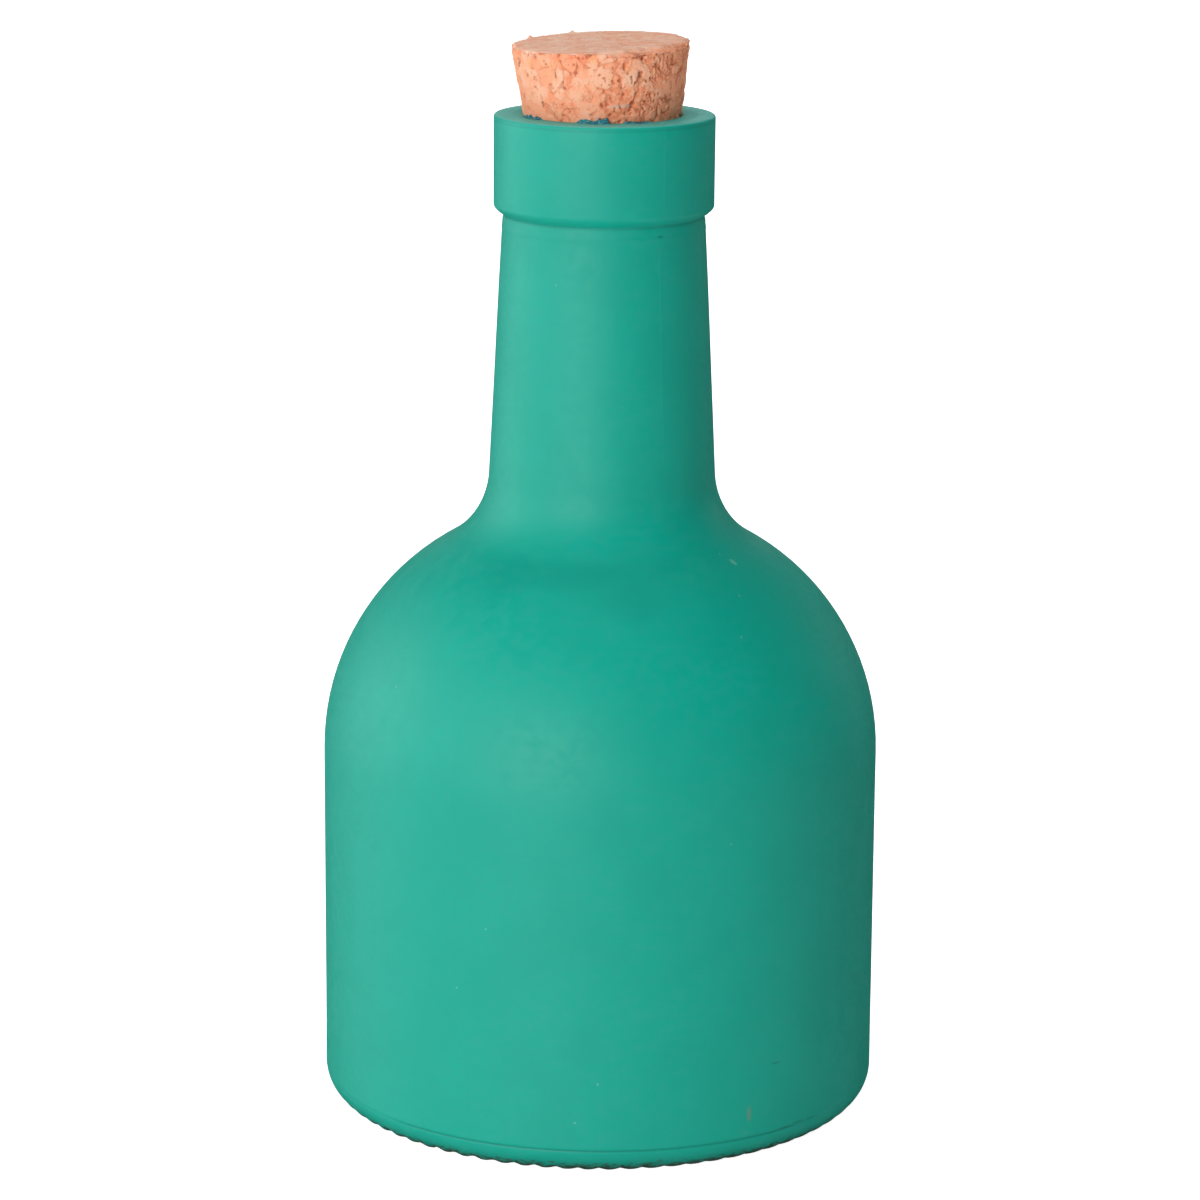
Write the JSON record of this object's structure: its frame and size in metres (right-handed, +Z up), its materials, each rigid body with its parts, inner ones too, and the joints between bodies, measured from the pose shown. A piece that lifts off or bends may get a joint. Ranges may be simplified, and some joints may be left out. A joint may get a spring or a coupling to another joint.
{
  "type": "oil cruet",
  "caption": "Short round oil bottle with a domed shoulder, a straight neck, a collar round the mouth, an opaque matte coating and a tapered cork stopper.",
  "frame": {"origin": "middle of the base, on the surface that the bottle stands on", "axes": "+Z up along the bottle's axis; -Y towards the side that the picture shows, with +X on its right"},
  "size_m": [0.076, 0.076, 0.1464],
  "materials": {
    "coated_glass": "satin",
    "cork": "matte"
  },
  "bodies": {
    "root": {"bottle": "coated_glass", "cork": "cork"}
  },
  "joints": []
}
